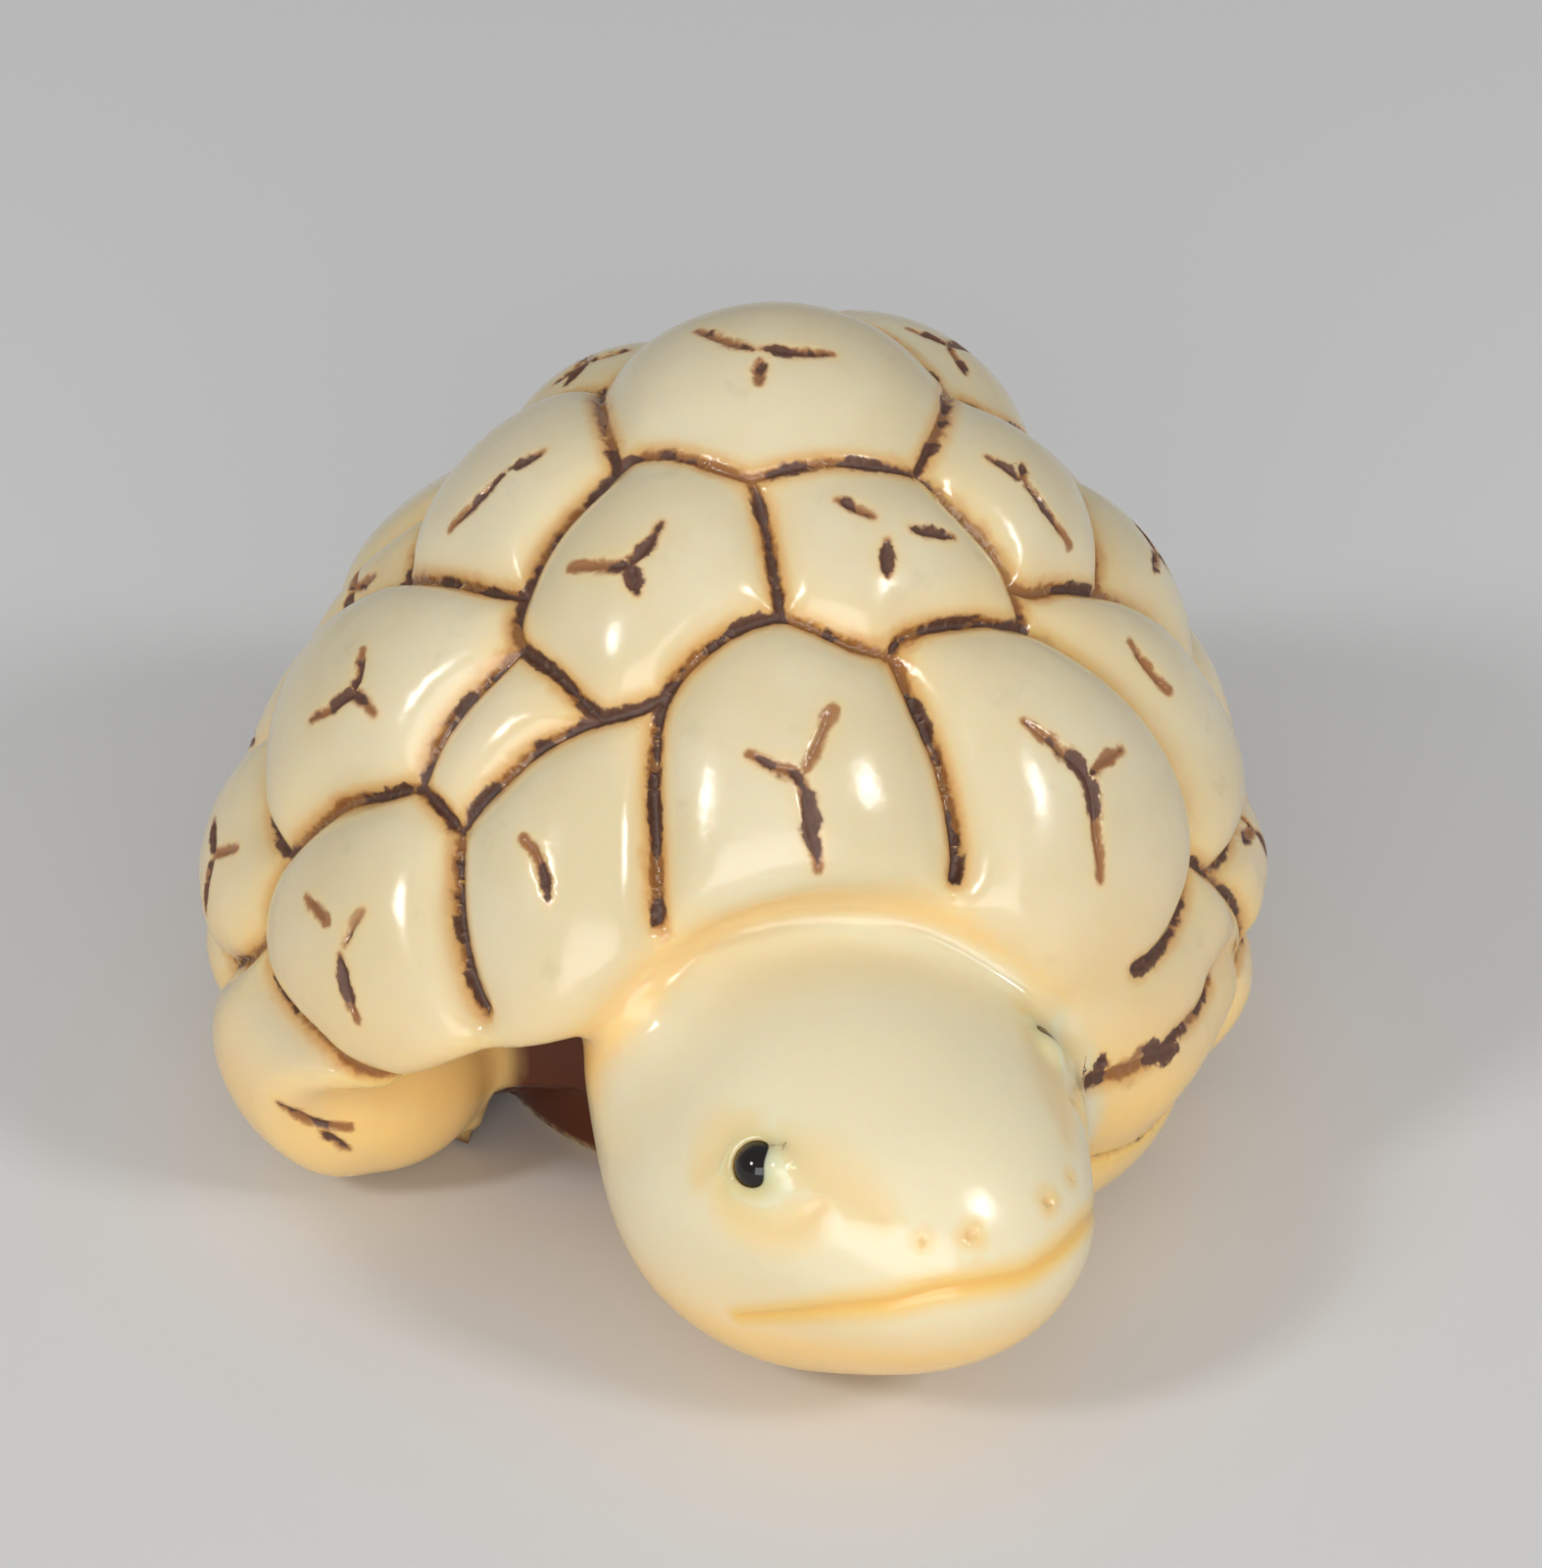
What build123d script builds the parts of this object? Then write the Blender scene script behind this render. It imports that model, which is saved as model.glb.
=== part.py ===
from build123d import *
import math
import os

# Turtle figurine: a small solid ornament of ivory-coloured resin, with two black bead eyes.
# Millimetres, +Z up. The head points to -Y, and the origin is on the ground under the middle of the shell.

# Smooth skin of the shell, which the scutes swell out of
SHELL_RIGHT = 20.3
SHELL_LEFT = 20.0
SHELL_FRONT = 22.0
SHELL_BACK = 22.0
SHELL_HEIGHT = 30.6
WIDEST_HEIGHT = 8.0
TUCK_DEPTH = 10.0
CROWN_LEAN = 1.3
DOME_FULLNESS = 1.25

# A scute is the outer cap of a sphere that stands a little proud of the skin
SCUTE_RADIUS = 10.0
SCUTE_LIFT = 1.0

# Bearing from the front towards +X and climb above the widest level, both in degrees, then the radius
# and the lift as shares of SCUTE_RADIUS and SCUTE_LIFT
CROWN_SHARES = {
    "crown": (38, 81, 0.75, 0.3),
    "crown_right": (-70, 84, 0.90, 0.3),
    "front_left_crown": (37, 60, 0.66, 0.2),
    "front_right_crown": (-24, 60, 0.76, 0.5),
    "left_crown": (88, 57, 0.80, 0.4),
    "right_crown": (-78, 54, 0.84, 0.5),
    "right_crown_front": (-60, 60, 0.60, -0.1),
    "back_left_crown": (136, 56, 0.75, 0.4),
    "back_left_crown_top": (153, 58, 0.70, 1.2),
    "back_right_crown": (-130, 55, 0.78, 0.05),
    "back_crown": (-178, 56, 0.75, 0.45),
}
FLANK_SHARES = {
    "front": (12, 40, 0.78, 0.7),
    "front_foot": (12, 31, 0.65, 0.2),
    "front_left": (46, 35, 0.80, 0.8),
    "front_left_rear": (60, 28, 0.70, 0.7),
    "front_left_foot": (42, 22, 0.66, 0.3),
    "front_right": (-20, 34, 0.66, 0.4),
    "front_right_foot": (-20, 22, 0.62, 0.3),
    "right_wedge": (-36, 41, 0.40, 0.0),
    "right_front": (-58, 37, 0.82, 0.7),
    "right_front_rear": (-76, 31, 0.65, 0.6),
    "right": (-94, 40, 0.55, -0.2),
    "right_back": (-120, 36, 0.80, 0.65),
    "back_right": (-157, 36, 0.78, 0.6),
    "back_left": (167, 36, 0.76, 0.6),
    "left_back": (137, 36, 0.68, 0.3),
    "left": (108, 36, 0.76, 0.5),
    "left_front": (83, 31, 0.75, 0.55),
}
RIM_SHARES = {
    "rim_right_corner": (-45, 21, 0.68, 0.7),
    "rim_right_low": (-58, -2, 0.70, 0.3),
    "rim_right_front": (-74, 12, 0.65, 0.4),
    "rim_right": (-98, 14, 0.68, 0.45),
    "rim_right_back": (-120, 12, 0.65, 0.45),
    "rim_back_right": (-143, 13, 0.66, 0.5),
    "rim_back": (-168, 13, 0.66, 0.5),
    "rim_back_left": (167, 12, 0.65, 0.45),
    "rim_left_back": (144, 13, 0.66, 0.5),
    "rim_left": (119, 13, 0.66, 0.5),
    "rim_left_front": (93, 12, 0.65, 0.1),
    "rim_left_corner": (62, 11, 0.70, -0.2),
}
# The lowest row curls in under the shell, and its two front corners bound the opening for the neck
HEM_SHARES = {
    "hem_right": (-84, -30, 0.64, 0.8),
    "hem_right_back": (-108, -30, 0.62, 0.8),
    "hem_back_right": (-131, -30, 0.62, 0.8),
    "hem_back": (-155, -30, 0.62, 0.8),
    "hem_back_left": (180, -30, 0.62, 0.8),
    "hem_left_back": (156, -30, 0.62, 0.8),
    "hem_left_rear": (132, -30, 0.62, 0.8),
    "hem_left": (106, -30, 0.64, 0.8),
    "hem_left_front": (85, -29, 0.60, 0.6),
}
CORNER_SHARES = {
    "corner_right": (-62, -38, 0.41, 1.4),
    "corner_left": (52, -4, 0.75, 0.0),
    "corner_left_low": (56, -35, 0.70, 0.3),
    "corner_left_foot": (68, -24, 0.66, -0.2),
}

# Solid heart of the shell, which the scutes grow from, as shares of the skin's reach and height
HEART_SHARES = (0.68, 0.66, 0.5)

# Underside: a shallow hollow inside the rim, with the flat belly plate standing in it
HOLLOW_HALF_WIDTH = 13.2
HOLLOW_HALF_LENGTH = 13.6
HOLLOW_DEPTH = 3.0
BELLY_HALF_WIDTH = 10.2
BELLY_HALF_LENGTH = 11.0
BELLY_SETBACK = 1.4
BELLY_EDGE_BEVEL = 0.8

# Opening under the front rim, where the neck comes out, and the recess over the neck
OPENING_ASIDE = -1.0
OPENING_HALF_WIDTH = 13.5
OPENING_HEIGHT = 12.6
OPENING_DEPTH = 13.5
RECESS_ASIDE = 4.4
RECESS_BASE = 8.2
RECESS_HALF_WIDTH = 8.5
RECESS_HEIGHT = 9.2
RECESS_DEPTH = 6.5

# Tucked feet, seen from below only: place as shares of the belly plate's half sizes, turn in degrees
FOOT_LENGTH = 8.6
FOOT_WIDTH = 4.6
FOOT_THICKNESS = 5.0
FOOT_SHARES = {
    "front_right": (-1.02, -0.36, 32),
    "front_left": (1.02, -0.36, -32),
    "hind_right": (-0.86, 0.86, -48),
    "hind_left": (0.86, 0.86, 48),
}
TAIL_LENGTH = 7.0
TAIL_WIDTH = 3.0
TAIL_TURN = -24

# Head: one frame turned to the turtle's left, with its nose a little up
HEAD_FORWARD = 19.2
HEAD_ASIDE = 5.7
HEAD_HEIGHT = 7.25
HEAD_TURN = 42
HEAD_PITCH = 4
HEAD_HALF_LENGTH = 10.0
HEAD_HALF_WIDTH = 8.0
HEAD_HALF_DEPTH = 7.0
# Ellipsoids of the head: centre, then half axes, both as shares of the half length, width and depth
HEAD_SHARES = {
    "cheeks": ((-0.1, 0, -0.04), (0.86, 1.02, 0.98)),
    "snout": ((0.36, 0, -0.02), (0.62, 0.79, 0.75)),
    "brow": ((0.06, 0, 0.24), (0.74, 1.0, 0.71)),
    "poll": ((-0.08, 0, 0.36), (0.64, 0.85, 0.77)),
}
# Neck: an ellipsoid that starts inside the shell and bends less than the head
NECK_HALF_LENGTH = 8.5
NECK_HALF_WIDTH = 6.0
NECK_HALF_DEPTH = 6.9
NECK_FORWARD = 14.5
NECK_ASIDE = 1.8
NECK_HEIGHT = 7.5
NECK_TURN = 16

# Eyes: round beads, each sunk in its own drilled socket on the brow
BEAD_RADIUS = 0.95
SOCKET_CLEARANCE = 0.04
BEAD_SINK = 0.6
# Where the bead's axis leaves the brow ellipsoid, as shares of its half length and half depth
EYE_FORWARD_SHARE = 0.31
EYE_UP_SHARE = 0.5

OVERRUN = 1.0
HALF_STEP = 0.5


def skin(bearing, climb):
    """Point of the smooth shell at a bearing and a climb in degrees."""
    turn = math.radians(bearing)
    rise = math.radians(climb)
    if climb >= 0:
        out = math.cos(rise) ** DOME_FULLNESS
        up = math.sin(rise) ** DOME_FULLNESS
        height = WIDEST_HEIGHT + (SHELL_HEIGHT - WIDEST_HEIGHT) * up
    else:
        out = math.cos(rise)
        up = 0.0
        height = WIDEST_HEIGHT + TUCK_DEPTH * math.sin(rise)
    reach = SHELL_FRONT if math.cos(turn) >= 0 else SHELL_BACK
    half_width = SHELL_LEFT if math.sin(turn) >= 0 else SHELL_RIGHT
    across = half_width * out * math.sin(turn) + CROWN_LEAN * up * up
    return Vector(across, -reach * out * math.cos(turn), height)


def skin_normal(bearing, climb):
    """Outward direction of the smooth shell there."""
    round_step = skin(bearing + HALF_STEP, climb) - skin(bearing - HALF_STEP, climb)
    climb_step = skin(bearing, climb + HALF_STEP) - skin(bearing, climb - HALF_STEP)
    return round_step.cross(climb_step).normalized()


def scute_ball(bearing, climb, radius_share, lift_share):
    """Sphere whose cap stands proud of the skin by its lift."""
    radius = SCUTE_RADIUS * radius_share
    sink = radius - SCUTE_LIFT * lift_share
    centre = skin(bearing, climb) - skin_normal(bearing, climb) * sink
    return Pos(centre.X, centre.Y, centre.Z) * Sphere(radius)


def scute_balls(table):
    return [scute_ball(*row) for row in table.values()]


def ellipsoid(half_x, half_y, half_z):
    return scale(Sphere(1), by=(half_x, half_y, half_z))


def heart():
    """Filling of the shell, inside all the scutes."""
    wide, long, high = HEART_SHARES
    solid = ellipsoid(SHELL_LEFT * wide, SHELL_FRONT * long, SHELL_HEIGHT * high / 2)
    return Pos(0, 0, SHELL_HEIGHT / 2) * solid


def ground_block():
    """All that would lie below the ground."""
    side = 2 * (SHELL_RIGHT + SHELL_FRONT + SHELL_BACK + HEAD_FORWARD)
    block = Box(side, side, SHELL_HEIGHT)
    return Pos(0, 0, -SHELL_HEIGHT / 2) * block


def arch(aside, base, half_width, height, depth):
    """Cut with an arched top, from outside the shell's front back to a depth."""
    length = depth + OVERRUN
    solid = scale(Cylinder(1, length, rotation=(90, 0, 0)), by=(half_width, 1, height))
    return Pos(aside, -SHELL_FRONT - OVERRUN + length / 2, base) * solid


def front_opening():
    opening = arch(OPENING_ASIDE, 0, OPENING_HALF_WIDTH, OPENING_HEIGHT, OPENING_DEPTH)
    recess = arch(RECESS_ASIDE, RECESS_BASE, RECESS_HALF_WIDTH, RECESS_HEIGHT, RECESS_DEPTH)
    return opening.fuse(recess)


def belly_hollow():
    disc = extrude(Ellipse(HOLLOW_HALF_WIDTH, HOLLOW_HALF_LENGTH), HOLLOW_DEPTH + OVERRUN)
    return Pos(0, BELLY_SETBACK, -OVERRUN) * disc


def belly_plate():
    """Flat oval that the figurine rests on, with a bevelled edge."""
    plate = extrude(Ellipse(BELLY_HALF_WIDTH, BELLY_HALF_LENGTH), HOLLOW_DEPTH + OVERRUN)
    plate = chamfer(plate.edges().group_by(Axis.Z)[0], BELLY_EDGE_BEVEL)
    return Pos(0, BELLY_SETBACK, 0) * plate


def feet():
    """Four feet and the tail, tucked between the belly plate and the rim."""
    solids = []
    for across_share, along_share, turn in FOOT_SHARES.values():
        foot = ellipsoid(FOOT_WIDTH / 2, FOOT_LENGTH / 2, FOOT_THICKNESS / 2)
        across = BELLY_HALF_WIDTH * across_share
        along = BELLY_SETBACK + BELLY_HALF_LENGTH * along_share
        solids.append(Pos(across, along, FOOT_THICKNESS / 2) * Rot(0, 0, turn) * foot)
    tail = ellipsoid(TAIL_WIDTH / 2, TAIL_LENGTH / 2, FOOT_THICKNESS / 2)
    tail_along = BELLY_SETBACK + BELLY_HALF_LENGTH
    solids.append(Pos(0, tail_along, FOOT_THICKNESS / 2) * Rot(0, 0, TAIL_TURN) * tail)
    return solids


def head_frame():
    """Frame of the head: X to the nose, Y to the turtle's left cheek, Z up the head."""
    turn = math.radians(HEAD_TURN)
    nose = Vector(math.sin(turn), -math.cos(turn), math.tan(math.radians(HEAD_PITCH)))
    left = Vector(math.cos(turn), math.sin(turn), 0)
    origin = Vector(HEAD_ASIDE, -HEAD_FORWARD, HEAD_HEIGHT)
    return Plane(origin=origin, x_dir=nose, z_dir=nose.cross(left))


def in_head(along_share, left_share, up_share, solid):
    """Solid moved to a place in the head's frame."""
    place = Pos(
        HEAD_HALF_LENGTH * along_share,
        HEAD_HALF_WIDTH * left_share,
        HEAD_HALF_DEPTH * up_share,
    )
    return head_frame() * place * solid


def head():
    solids = []
    for centre, half_axes in HEAD_SHARES.values():
        lump = ellipsoid(
            HEAD_HALF_LENGTH * half_axes[0],
            HEAD_HALF_WIDTH * half_axes[1],
            HEAD_HALF_DEPTH * half_axes[2],
        )
        solids.append(in_head(*centre, lump))
    return solids


def neck():
    solid = ellipsoid(NECK_HALF_WIDTH, NECK_HALF_LENGTH, NECK_HALF_DEPTH)
    return Pos(NECK_ASIDE, -NECK_FORWARD, NECK_HEIGHT) * Rot(0, 0, NECK_TURN) * solid


def bead(side, radius):
    """Ball on an eye's centre, just under the skin of the brow. Side is -1 for the right eye, 1 for the left."""
    centre, half_axes = HEAD_SHARES["brow"]
    half_length = HEAD_HALF_LENGTH * half_axes[0]
    half_width = HEAD_HALF_WIDTH * half_axes[1]
    half_depth = HEAD_HALF_DEPTH * half_axes[2]
    out_share = math.sqrt(1 - EYE_FORWARD_SHARE**2 - EYE_UP_SHARE**2)
    along = HEAD_HALF_LENGTH * centre[0] + half_length * EYE_FORWARD_SHARE
    out = half_width * out_share
    up = HEAD_HALF_DEPTH * centre[2] + half_depth * EYE_UP_SHARE
    outward = Vector(
        EYE_FORWARD_SHARE / half_length,
        out_share / half_width,
        EYE_UP_SHARE / half_depth,
    ).normalized()
    sunk = Vector(along, out, up) - outward * BEAD_SINK
    return head_frame() * Pos(sunk.X, side * sunk.Y, sunk.Z) * Sphere(radius)


def joined(solid, others):
    """One solid of the first and all the others, which all meet it or each other."""
    for other in others:
        solid = solid.fuse(other)
    return solid


def carved_body():
    """The whole turtle but its eyes, in one piece."""
    upper = scute_balls(CROWN_SHARES) + scute_balls(FLANK_SHARES) + scute_balls(RIM_SHARES)
    shell = joined(heart(), upper + scute_balls(HEM_SHARES))
    shell = shell.cut(front_opening())
    shell = joined(shell, scute_balls(CORNER_SHARES))
    shell = shell.cut(belly_hollow())
    body = joined(shell, [belly_plate(), neck(), *feet(), *head()])
    body = body.cut(ground_block())
    sockets = [bead(side, BEAD_RADIUS + SOCKET_CLEARANCE) for side in (-1, 1)]
    return body.cut(*sockets)


def save(solid, node):
    export_step(solid, f"parts/{node}.step")
    print(node, "solids", len(solid.solids()), "volume", round(solid.volume, 1), "valid", solid.is_valid)


os.makedirs("parts", exist_ok=True)
save(carved_body(), "carved_body")
save(bead(-1, BEAD_RADIUS), "eye_right")
save(bead(1, BEAD_RADIUS), "eye_left")
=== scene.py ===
import math
import bpy
import numpy as np
from mathutils import Matrix, Vector
from mathutils.kdtree import KDTree


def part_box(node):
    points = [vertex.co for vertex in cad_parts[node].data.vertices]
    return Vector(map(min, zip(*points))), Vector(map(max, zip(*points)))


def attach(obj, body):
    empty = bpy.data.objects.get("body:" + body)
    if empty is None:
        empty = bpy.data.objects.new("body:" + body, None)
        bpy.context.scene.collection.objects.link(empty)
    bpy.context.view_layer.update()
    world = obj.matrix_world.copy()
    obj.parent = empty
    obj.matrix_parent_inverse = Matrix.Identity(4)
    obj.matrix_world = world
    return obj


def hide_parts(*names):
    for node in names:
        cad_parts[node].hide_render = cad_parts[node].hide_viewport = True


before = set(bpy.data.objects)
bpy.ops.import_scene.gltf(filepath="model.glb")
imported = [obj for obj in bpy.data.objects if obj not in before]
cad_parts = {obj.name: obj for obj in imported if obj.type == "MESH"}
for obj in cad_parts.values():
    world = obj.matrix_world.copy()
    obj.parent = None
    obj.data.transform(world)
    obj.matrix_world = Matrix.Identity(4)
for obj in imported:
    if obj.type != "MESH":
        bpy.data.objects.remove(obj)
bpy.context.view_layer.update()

# A turtle figurine in ivory-coloured resin: one carved body with stained cuts, and two black bead eyes.
# Lengths are in millimetres and angles in degrees until a mesh, lamp or camera is made.
MM = 0.001

# The photograph's frame, and the camera that took it
PHOTO_WIDE = 1573
PHOTO_HIGH = 1600
CAMERA_AZIMUTH = 5.0
CAMERA_ELEVATION = 30.0
CAMERA_DISTANCE = 230.0
CAMERA_TARGET = (1.0, 0.0, 12.0)
FOCAL_PIXELS = 6141.0
SENSOR = 36.0
CLIP_START = 0.01
# Part of a camera ray, before and behind its target's distance, on which a surface is looked for
RAY_SPAN = (-45, 35)
RAY_STEP = 0.1

# Smooth skin of the shell
SHELL_HALF_WIDTH = 20.3
LEFT_HALF_WIDTH = 20.0
SHELL_HALF_LENGTH = 22.0
SHELL_HEIGHT = 30.6
WIDEST_HEIGHT = 8.0
TUCK_DEPTH = 10.0
CROWN_LEAN = 1.3
DOME_FULLNESS = 1.25
SEAM_INSET = 1.05
MIDDLE = np.array((0.0, 0.0, WIDEST_HEIGHT))

# Pillowed scutes: how high one of ordinary size stands over its seams, and how a small or large one differs
DOME_RISE = 1.7
DOME_POWER = 0.5
DOME_RADIUS = 5.0
DOME_LIMIT = 2.6
# How far beside a seam the blown-up sheet is pinned down, and how firmly
SEAM_HOLD = 0.32
HOLD_STRENGTH = 3
# Part of a gap along a ray from the middle that counts as distance, since the skin slants to the ray
FIELD_SHARE = 0.9

# Chart of the shell, seen from above and spread flat, with the crown in its middle
CHART_SIZE = 640
CHART_REACH = math.radians(135)
RELAX_STEPS = 160
# Cells round a piece of seam that measure how far they are from it, and what the others hold
SEAM_MARGIN = 16
FAR = 9.0

# Seams between the scutes that the photograph shows: depth of stain, then photo pixels along each
SEEN_SEAMS = (
    # Round the crown
    (1.0, 632, 490, 650, 477, 680, 473, 710, 477, 740, 488, 768, 496),
    (0.9, 768, 496, 800, 487, 840, 482, 880, 484, 924, 491),
    (1.1, 620, 402, 628, 440, 635, 468, 632, 490),
    (1.1, 924, 491, 932, 465, 940, 440, 945, 417),
    # Round the second row, as far as the seam between its two front scutes
    (0.8, 632, 490, 590, 530, 565, 560, 548, 590, 540, 612),
    (0.7, 418, 596, 470, 598, 500, 605, 540, 612),
    (0.5, 453, 523, 440, 545, 425, 575, 418, 596),
    (1.0, 540, 612, 533, 628, 530, 648, 535, 663),
    (1.0, 535, 663, 570, 690, 592, 713, 615, 736),
    (1.0, 615, 736, 650, 727, 680, 712),
    (1.0, 680, 712, 700, 685, 735, 655, 765, 640, 797, 631),
    (1.0, 768, 496, 778, 530, 787, 575, 797, 631),
    # Round the rest of the second row
    (0.6, 797, 631, 830, 645, 870, 662, 908, 672),
    (1.0, 908, 672, 915, 655, 940, 645, 970, 640, 1000, 638, 1042, 645),
    (0.3, 924, 491, 950, 508, 975, 530, 1000, 557, 1020, 583, 1028, 602),
    (0.7, 1028, 602, 1036, 620, 1042, 645),
    (0.8, 945, 417, 975, 422, 1000, 437, 1030, 455),
    (1.1, 1028, 602, 1050, 607, 1075, 603, 1100, 605, 1125, 609),
    # Down the turtle's left side and round its corner
    (0.15, 1042, 645, 1080, 668, 1110, 690, 1140, 720, 1165, 755, 1185, 790, 1198, 830, 1201, 870),
    (0.5, 1125, 609, 1145, 620, 1165, 635, 1190, 670, 1215, 710, 1238, 749),
    (0.55, 1238, 749, 1248, 796, 1250, 833, 1241, 873, 1227, 892),
    (0.9, 1201, 870, 1212, 881, 1227, 892),
    (0.7, 1227, 892, 1243, 911, 1255, 935, 1262, 960, 1266, 990),
    (1.1, 1201, 870, 1200, 900, 1190, 930, 1170, 960, 1150, 980, 1135, 989),
    (0.0, 1135, 989, 1095, 1010, 1055, 1030),
    (1.0, 1222, 1000, 1200, 1027, 1175, 1047, 1150, 1068, 1125, 1081, 1105, 1088, 1085, 1095),
    # Beside the front scute
    (1.2, 680, 712, 672, 740, 668, 800, 670, 860, 671, 900, 672, 940),
    (1.1, 908, 672, 920, 700, 940, 745, 955, 780, 967, 830, 973, 870, 972, 895),
    # Down the turtle's right side and round its corner
    (1.0, 535, 663, 505, 695, 475, 725, 455, 755, 440, 785, 432, 804),
    (0.9, 300, 876, 330, 845, 360, 822, 395, 813, 432, 804),
    (1.3, 432, 804, 455, 828, 473, 849),
    (1.0, 473, 849, 495, 820, 520, 795, 550, 768, 580, 750, 615, 736),
    (1.1, 473, 849, 471, 890, 472, 930, 478, 970, 490, 1010, 500, 1030),
    (0.6, 418, 596, 402, 608, 375, 622, 352, 645, 330, 680, 310, 715, 301, 733),
    (0.9, 301, 733, 290, 800, 287, 840, 300, 876),
    (0.7, 300, 876, 290, 905, 284, 930, 283, 952),
    (0.8, 283, 952, 288, 990, 300, 1015, 320, 1040, 340, 1060, 365, 1085, 400, 1100, 420, 1112),
    (0.0, 420, 1112, 460, 1105, 500, 1092),
)
# The other seams: stain, then bearings from the front towards +X with climbs above the widest level
OTHER_SEAMS = (
    # Under the crown
    (0.7, 103, 67, 115, 66, 130, 66, 148, 66, 165, 67),
    (0.4, -114, 64, -126, 65, -142, 66, -157, 67),
    (0.8, -157, 67, -178, 65, 165, 67),
    # Between the scutes of the second row
    (0.5, 121, 46, 116, 45, 104, 45, 95, 44, 86, 43),
    (0.5, 113, 56, 117, 52, 121, 46),
    (0.9, 165, 67, 163, 58, 160, 50),
    (0.9, -157, 67, -151, 58, -146, 50),
    (0.4, -114, 64, -117, 58, -112, 52, -105, 48, -97, 46),
    # Under the second row
    (0.8, -97, 46, -104, 47, -120, 47, -138, 45, -146, 50),
    (0.9, -146, 50, -160, 47, -175, 44, 172, 46, 160, 50),
    (0.8, 160, 50, 148, 45, 136, 46, 127, 48, 121, 46),
    # Between the scutes of the third row
    (0.8, -104, 47, -103, 38, -101, 28),
    (1.0, -138, 45, -139, 36, -138, 28),
    (1.0, -175, 44, -176, 36, -175, 28),
    (0.9, 148, 45, 149, 36, 148, 28),
    (0.9, 127, 48, 125, 38, 123, 29),
    # Under the third row
    (0.7, -84, 24, -93, 22, -101, 28),
    (0.9, -101, 28, -109, 24, -120, 25, -131, 24, -138, 28),
    (0.9, -138, 28, -146, 25, -155, 24, -165, 26, -175, 28),
    (0.9, -175, 28, 178, 24, 167, 25, 156, 24, 148, 28),
    (0.9, 148, 28, 140, 25, 132, 24, 123, 29),
    (0.7, 123, 29, 114, 25, 106, 23, 101.5, 21.5),
    # Between the scutes of the rim
    (0.6, -84, 24, -90, 17, -91, 10, -88, 2, -84, -2),
    (0.9, -109, 24, -111, 12, -109, -1),
    (0.9, -131, 24, -132, 12, -131, -1),
    (0.9, -155, 24, -156, 12, -155, -1),
    (1.0, 178, 24, 178, 12, 178, -1),
    (0.9, 156, 24, 155, 12, 156, -1),
    (0.9, 132, 24, 131, 12, 132, -1),
    (0.8, 106, 23, 107, 12, 106, -2),
    (0.3, 80, 1, 81, -3, 80, -7),
    (0.7, -61, 10, -65, 3, -72, -6),
    # Round the hem and the front opening; the unstained ones only shape the skin
    (0.8, -72, -6, -84, -2, -97, -6, -109, -1, -120, -6, -131, -1, -143, -6, -155, -1, -168, -6, 178, -1,
        167, -6, 156, -1, 144, -6, 132, -1, 119, -6, 106, -2, 93, -6, 80, -7),
    (0.0, 67, 5, 74, 4, 79, 0),
    (0.3, 80, -7, 77, -18, 72, -30, 68, -44),
    (0.1, 76, -16, 63, -18, 54, -17, 46, -14, 40, -14),
    (0.0, -30, -46, -50, -48, -72, -48, -100, -48, -130, -48, -160, -48, 170, -48, 140, -48, 110, -48,
        85, -48, 60, -48, 36, -46),
    (0.0, -24, 9, -17, 12, -11, 17, -6, 23, 3, 27, 13, 29, 23, 28, 30, 25, 36, 20, 42, 13),
)
HEM_SPLITS = (-72, -97, -120, -143, -168, 167, 144, 119, 93)
HEM_CLIMBS = (-6, -20, -34, -48)
HEM_STAIN = 0.8

# Age marks cut into the scutes: stain, then photo pixels
SEEN_MARKS = (
    # On the crown
    (0.8, 710, 338, 740, 348, 768, 357),
    (1.0, 778, 357, 812, 360, 848, 362),
    (1.2, 775, 368, 775, 380, 775, 392),
    # On the second row
    (1.0, 583, 580, 610, 577, 640, 575, 660, 556, 675, 535),
    (1.2, 640, 575, 646, 590, 650, 605),
    (0.9, 855, 510, 872, 518, 890, 527),
    (0.8, 930, 540, 952, 544, 972, 548),
    (1.0, 905, 553, 904, 572, 905, 588),
    (0.9, 460, 540, 480, 518, 500, 497, 513, 485),
    (0.7, 520, 478, 538, 470, 555, 462),
    (1.0, 1007, 468, 1030, 480, 1045, 490, 1068, 522, 1090, 555),
    (0.8, 1045, 490, 1043, 475),
    (0.6, 566, 392, 580, 380, 595, 368),
    # On the third row
    (1.0, 370, 665, 367, 685, 362, 705),
    (1.1, 318, 735, 340, 722, 362, 708, 382, 728),
    (0.5, 533, 855, 541, 863, 548, 872, 555, 895, 560, 920),
    (1.3, 765, 770, 790, 782, 815, 792, 826, 838, 835, 885),
    (0.35, 850, 722, 836, 755, 822, 785),
    (1.2, 1045, 737, 1080, 765, 1110, 795, 1118, 848, 1122, 898),
    (0.9, 1145, 765, 1128, 776, 1112, 790),
    (0.6, 1153, 658, 1170, 680, 1190, 705),
    # On the corners
    (0.6, 312, 915, 322, 928, 333, 940),
    (0.9, 348, 975, 352, 1000, 358, 1022, 365, 1040),
    (0.3, 370, 930, 360, 945, 352, 965),
    (1.0, 285, 1125, 310, 1140, 325, 1147, 355, 1150),
    (0.8, 330, 1155, 342, 1163, 355, 1172),
    (2.4, 1163, 1071, 1180, 1074, 1200, 1070),
    (1.6, 1117, 1086, 1128, 1085),
)
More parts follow.
